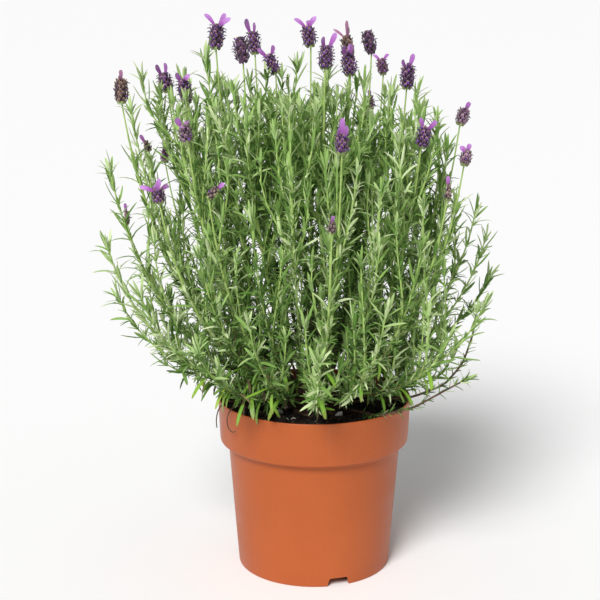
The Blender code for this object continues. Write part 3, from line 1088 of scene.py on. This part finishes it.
class Florist:
    """Builds flower heads from scales, small corollas and ears."""

    def __init__(self, rng):
        self.rng = rng
        self.scale = blades(SCALE, SCALE_SECTIONS, ((0.5, 0.32), (0.1, 0.32), (-0.5, 0.32)))
        self.corolla = blade(*COROLLA, SHORT_SECTIONS, -0.9, 0.3)
        self.ear = blades(EAR, EAR_SECTIONS, ((0.5, 0.25), (-0.9, 0.3), (0.9, 0.15)))

    def barrel(self, growth, foot, axis, normal, kind, length, girth):
        """Ranks of overlapping scales round a slim core."""
        rng = self.rng
        profile = BUD_GIRTHS if kind == "bud" else BARREL_GIRTHS
        core_share = np.linspace(0, 1, CORE_RINGS)
        core = foot + axis * (core_share * length)[:, None]
        radii = np.interp(core_share, BARREL_PLACES, profile) * girth / 2 * 0.72
        growth.add_tube(core, radii, 1, 0.4, 0.4, CORE_SIDES)
        columns = 8 if girth > 0.009 else 6
        rows = max(4, int(length / 0.0026))
        for row in range(rows):
            share = (row + 0.35) / rows
            radius = np.interp(share, BARREL_PLACES, profile) * girth / 2
            flare = 0.06 + 0.14 * (1 - share)
            for column in range(columns):
                angle = (column + 0.5 * (row % 2)) * 2 * math.pi / columns + rng.normal(0, 0.07)
                out = perpendicular(axis, normal, angle)
                place = foot + axis * (share * length - 0.0018) + out * radius * 0.84
                heading = axis + out * (flare + rng.normal(0, 0.1))
                finish = 2 if share < 0.13 and kind != "dark" else 0
                size = (0.74 if girth > 0.01 else 0.56) * rng.uniform(0.85, 1.1)
                matrix = leaf_matrix(place, heading, out, size, size * 0.95)
                growth.add(self.scale[rng.integers(3)], finish, matrix, rng.random(), share)
                if rng.random() < OPEN_SHARE.get(kind, RARELY_OPEN) and 0.12 < share < 0.95:
                    bloom = place + axis * 0.0022 + out * girth * 0.09
                    heading = out + axis * rng.uniform(0.1, 0.9) + rng.normal(0, 0.3, 3)
                    matrix = leaf_matrix(bloom, heading, axis, rng.uniform(0.7, 1.1), 1.0)
                    growth.add(self.corolla, 3, matrix, rng.random(), share)

    def ears(self, growth, top, axis, normal, count, length, facing, kind):
        rng = self.rng
        for i in range(count):
            angle = math.radians(facing) + i * 2 * math.pi / max(count, 2) + rng.normal(0, 0.3)
            out = perpendicular(axis, normal, angle)
            tilt = rng.uniform(0.5, 0.95) if i else rng.uniform(0.4, 0.7)
            if kind == "open":
                tilt = rng.uniform(0.8, 1.2)
            heading = math.cos(tilt) * axis + math.sin(tilt) * out
            own = length * (1.15 if i == 0 else rng.uniform(0.85, 1.1))
            width = rng.uniform(0.8, 1.05) * (0.75 if kind in ("bud", "faded", "small") else 1.0)
            place = top + out * 0.0016 - axis * 0.003
            face = -0.5 * out - np.array([0.0, 0.8, 0.0])
            matrix = leaf_matrix(place, heading, face, (own + 0.003) / EAR[0], width)
            growth.add(self.ear[rng.integers(3)], 4, matrix, rng.random(), 0.5)

    def head(self, stem, look, skins):
        kind, length, girth, ear_count, ear_length, facing = look
        growth = Growth()
        axis = unit(stem["head_top"] - stem["head_foot"])
        normal = unit(np.cross((0.0, 1.0, 0.0), axis))
        self.barrel(growth, stem["head_foot"], axis, normal, kind, length * MM, girth * MM)
        top = stem["head_foot"] + axis * length * MM
        if ear_count:
            self.ears(growth, top, axis, normal, ear_count, ear_length * MM, facing, kind)
        name = stem["node"].replace("flowering_stem", "flower_head")
        piece = growth.build(name, skins)
        smooth(piece, 50)
        finish_piece(piece, "flower_purple", stem["node"])


def flower_finishes():
    """For each kind of head: scales, core, green foot scales, corollas and ears."""
    core = scale_skin("head core", (0.035, 0.012, 0.035), (0.06, 0.03, 0.05), 0.8)
    foot = scale_skin("foot scales", (0.22, 0.30, 0.09), (0.36, 0.30, 0.16), 0.6)
    corolla = scale_skin("corollas", (0.070, 0.014, 0.20), (0.20, 0.045, 0.42), 0.5)
    violet = ear_skin("violet ears", (0.20, 0.035, 0.24), (0.36, 0.090, 0.42), (0.50, 0.22, 0.60))
    rosy = ear_skin("rosy ears", (0.20, 0.06, 0.16), (0.36, 0.13, 0.28), (0.45, 0.20, 0.33))
    finishes = {
        kind: [scale_skin(*skin), core, foot, corolla, violet]
        for kind, skin in HEAD_SKINS.items()
    }
    finishes["open"] = finishes["ripe"]
    finishes["faded"][-1] = rosy
    return finishes


# ---- pot, soil, crown


def rounded(radius, height, size, turns):
    """Ring points round a corner: its centre, its size and its angles in degrees."""
    angles = [math.radians(turn) for turn in turns]
    return [(radius + size * math.cos(a), height + size * math.sin(a)) for a in angles]


def build_pot():
    """A moulded shell: floor, inner wall, lip, collar, neck, foot ring and recess."""
    collar_foot = RIM_RADIUS - COLLAR_TAPER
    neck = collar_foot - NECK_STEP
    shoulder = RIM_HEIGHT - COLLAR_HEIGHT
    neck_height = shoulder - 3 * MM
    foot_inner = FOOT_RADIUS - FOOT_RING
    floor_top = RECESS + FLOOR_THICKNESS
    rings = [(0.004, RECESS), (foot_inner - 1 * MM, RECESS)]
    rings.append((foot_inner - 0.3 * MM, RECESS - 0.7 * MM))
    rings += [(foot_inner, 0.5 * MM), (foot_inner + 0.5 * MM, 0.0), (FOOT_RADIUS - FOOT_EDGE, 0.0)]
    rings += rounded(FOOT_RADIUS - FOOT_EDGE, FOOT_EDGE, FOOT_EDGE, (-60, -30, 0))
    for t in (0.2, 0.4, 0.6, 0.8, 0.985):
        rings.append((FOOT_RADIUS + (neck - FOOT_RADIUS) * t, neck_height * t))
    rings += [(neck + 0.15 * MM, neck_height - 0.5 * MM), (neck + 0.9 * MM, neck_height + 0.5 * MM)]
    rings.append((neck + 2.2 * MM, neck_height + 0.9 * MM))
    rings.append((collar_foot - 2.6 * MM, shoulder - 0.2 * MM))
    rings += rounded(
        collar_foot - COLLAR_EDGE, shoulder + COLLAR_EDGE, COLLAR_EDGE, (-70, -45, -20, 0)
    )
    for t in (0.3, 0.6, 0.9):
        rings.append((collar_foot + COLLAR_TAPER * t, shoulder + COLLAR_HEIGHT * t))
    lip = WALL / 2
    rings.append((RIM_RADIUS, RIM_HEIGHT - lip))
    rings += rounded(RIM_RADIUS - lip, RIM_HEIGHT - lip, lip, range(30, 181, 30))
    rings.append((collar_foot - WALL, shoulder + 5 * MM))
    rings.append((collar_foot - WALL - 2 * MM, shoulder + 2.6 * MM))
    rings += [(neck - WALL + 1 * MM, neck_height + 3 * MM), (neck - WALL, neck_height)]
    rings += [(FOOT_RADIUS - WALL, floor_top + 2 * MM), (FOOT_RADIUS - WALL - 2 * MM, floor_top)]
    rings.append((0.004, floor_top))
    pot = turned_shell("nursery_pot", rings, POT_SEGMENTS)
    close_ends(pot)
    cut_drainage(pot)
    smooth(pot, 32)
    pot.data.materials.append(pot_plastic())
    finish_piece(pot, "terracotta_plastic", "pot")


def cut_drainage(pot):
    """Slots with rounded, slanted ends through the foot ring, and round holes in the floor."""
    cutters = []
    for angle in SLOT_ANGLES:
        deselect()
        centre = (FOOT_RADIUS * math.cos(angle), FOOT_RADIUS * math.sin(angle), 0)
        bpy.ops.mesh.primitive_cube_add(size=1, location=centre, rotation=(0, 0, angle))
        cutter = bpy.context.object
        cutter.scale = (0.014, SLOT_WIDTH, 2 * SLOT_HEIGHT)
        bpy.ops.object.transform_apply(location=False, rotation=False, scale=True)
        for vertex in cutter.data.vertices:
            if vertex.co.z > 0:
                vertex.co.y *= 0.72
        bevel = cutter.modifiers.new("rounding", "BEVEL")
        bevel.width = 0.0022
        bevel.segments = 4
        apply_modifiers(cutter)
        cutters.append(cutter)
    for angle in HOLE_ANGLES:
        deselect()
        bpy.ops.mesh.primitive_cylinder_add(
            vertices=32, radius=HOLE_RADIUS, depth=0.012,
            location=(HOLE_CIRCLE * math.cos(angle), HOLE_CIRCLE * math.sin(angle), RECESS + MM),
        )
        cutters.append(bpy.context.object)
    for cutter in cutters:
        boolean = pot.modifiers.new("drain", "BOOLEAN")
        boolean.operation = "DIFFERENCE"
        boolean.object = cutter
    apply_modifiers(pot)
    for cutter in cutters:
        bpy.data.objects.remove(cutter)


def build_soil(rng):
    """Peat with a rough crumbly top, lower at the wall, and loose crumbs and perlite on it."""
    inner = RIM_RADIUS - COLLAR_TAPER - WALL - 0.4 * MM
    deselect()
    rings = [(0.0745, 0.0098), (RIM_RADIUS - 0.0122, 0.1235), (RIM_RADIUS - 0.0122, 0.1305)]
    rings += [(inner, 0.1345), (inner, SOIL_TOP - 0.001)]
    rings += [(inner * t, SOIL_TOP) for t in np.linspace(0.985, 0.02, 62)]
    soil = turned_shell("peat_fill", rings, 160)
    close_ends(soil)
    for vertex in soil.data.vertices:
        if vertex.co.z < SOIL_TOP - 0.0005:
            continue
        place = vertex.co
        coarse = math.sin(place.x * 95 + 1.3) * math.cos(place.y * 88 - 0.6)
        fine = noise.noise(place * 160) + 0.6 * noise.noise(place * 420)
        edge = min(1.0, (inner - math.hypot(place.x, place.y)) / 0.006)
        vertex.co.z += edge * (0.0012 * coarse + 0.0028 * fine + 0.0008)
    smooth(soil, 60)
    soil.data.materials.append(peat())
    finish_piece(soil, "peat_soil", "potting_soil")
    crumbs = Growth()
    lumps = [lump(1, 0.55, rng) for _ in range(3)]
    for _ in range(CRUMBS):
        radius = inner * 0.985 * math.sqrt(rng.random())
        angle = rng.uniform(0, 2 * math.pi)
        size = rng.uniform(0.0007, 0.0026) if rng.random() < 0.9 else rng.uniform(0.0026, 0.0042)
        white = rng.random() < WHITE_SHARE
        turn = Matrix.Rotation(rng.uniform(0, 6.28), 3, Vector(rng.normal(0, 1, 3)).normalized())
        squash = np.diag([size * rng.uniform(0.8, 1.8), size, size * rng.uniform(0.6, 1.0)])
        matrix = np.eye(4)
        matrix[:3, :3] = np.array(turn) @ squash
        height = SOIL_TOP + 0.0008 + size * 0.4
        matrix[:3, 3] = (radius * math.cos(angle), radius * math.sin(angle), height)
        crumbs.add(lumps[rng.integers(3)], 1 if white else 0, matrix, rng.random() ** 2, 0.5)
    finish_piece(crumbs.build("soil_crumbs", [crumb_peat(), perlite()]), "peat_soil")


def build_crown(stems, rng):
    """A low gnarled base, with thick woody limbs that run up into the stems."""
    low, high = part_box("woody_crown")
    deselect()
    bpy.ops.mesh.primitive_uv_sphere_add(segments=48, ring_count=24, radius=1.0)
    crown = bpy.context.object
    crown.name = "gnarled_base"
    for vertex in crown.data.vertices:
        direction = vertex.co.copy()
        knots = 1 + 0.22 * noise.noise(direction * 2.1) + 0.12 * noise.noise(direction * 5.0)
        ridges = 1 + 0.05 * math.sin(11 * math.atan2(direction.y, direction.x))
        flat = high.x * 0.82 * knots * ridges
        vertex.co.x = direction.x * flat
        vertex.co.y = direction.y * flat
        vertex.co.z = low.z - 0.002 + max(direction.z, -0.15) * 0.0125 * knots
    smooth(crown, 60)
    crown.data.materials.append(bark())
    finish_piece(crown, "woody_bark", "woody_crown")
    limbs = Growth()
    for stem in stems:
        line = stem["line"]
        top = line.at(0.014)[0]
        foot = np.array([line.points[0][0] * 0.62, line.points[0][1] * 0.62, low.z + 0.003])
        middle = line.points[0] * (0.9, 0.9, 1.0) - UP * 0.004
        route = Line([foot, middle, line.points[1], top]).points[::2]
        radii = np.linspace(0.0036, 0.0019, len(route)) * rng.uniform(0.85, 1.15, len(route))
        limbs.add_tube(route, radii, 0, rng.random(), 1.0, LIMB_SIDES)
    finish_piece(limbs.build("woody_limbs", [bark()]), "woody_bark")


def build_tendrils(rng):
    growth = Growth()
    for route in TENDRILS:
        points = Line(np.array(route) * MM).points[::2]
        radii = np.linspace(0.0008, 0.0005, len(points))
        growth.add_tube(points, radii, 0, rng.random(), 1.0)
    finish_piece(growth.build("dry_tendrils", [bark()]), "woody_bark")


# ---- stage


def build_stage():
    deselect()
    bpy.ops.mesh.primitive_plane_add(size=FLOOR_SIZE, location=(0, 0, 0))
    floor = bpy.context.object
    floor.name = "floor"
    finish = Finish("pale floor", 0.9)
    finish.shader.inputs["Base Color"].default_value = (0.93, 0.93, 0.93, 1)
    finish.shader.inputs["Specular IOR Level"].default_value = 0.1
    floor.data.materials.append(finish.material)
    world = bpy.data.worlds.new("white studio")
    world.use_nodes = True
    background = world.node_tree.nodes["Background"]
    background.inputs["Color"].default_value = (1, 1, 1, 1)
    background.inputs["Strength"].default_value = WORLD_STRENGTH
    bpy.context.scene.world = world
    bpy.context.scene.view_settings.view_transform = "Standard"
    light = bpy.data.lights.new("key", "SUN")
    light.energy = SUN_STRENGTH
    light.angle = SUN_WIDTH
    lamp = bpy.data.objects.new("key", light)
    lamp.rotation_euler = Vector(SUN_HEADING).to_track_quat("-Z", "Y").to_euler()
    bpy.context.scene.collection.objects.link(lamp)


def build_camera():
    lens = bpy.data.cameras.new("camera")
    lens.sensor_width = 36
    lens.lens = CAMERA_LENS
    lens.clip_end = CAMERA_REACH
    camera = bpy.data.objects.new("camera", lens)
    camera.location = CAMERA_PLACE
    camera.rotation_euler = (math.pi / 2 - CAMERA_DOWN, 0, 0)
    bpy.context.scene.collection.objects.link(camera)
    bpy.context.scene.camera = camera


def main():
    rng = np.random.default_rng(SEED)
    build_pot()
    build_soil(rng)
    names = sorted(name for name in frame["nodes"] if name.startswith(("flowering", "leafy")))
    stems = [stem_record(name) for name in names]
    build_crown(stems, rng)
    planter = Planter(rng)
    for stem in stems:
        grow_main_stem(planter, stem)
    grow_side_shoots(planter, stems)
    grow_low_leaves(planter, stems)
    grow_dark_twigs(planter, stems)
    build_tendrils(rng)
    skins = [leaf_skin(), stem_skin(), old_leaf_skin(), dry_leaf_skin()]
    for stem in stems:
        name = stem["node"] + "_foliage"
        piece = stem["growth"].build(name, skins)
        smooth(piece, 50)
        finish_piece(piece, "foliage_green", stem["node"])
    florist = Florist(rng)
    finishes = flower_finishes()
    flowering = [stem for stem in stems if stem["flowering"]]
    for stem, look in zip(flowering, HEADS):
        florist.head(stem, look, finishes[look[0]])
    build_stage()
    build_camera()


main()
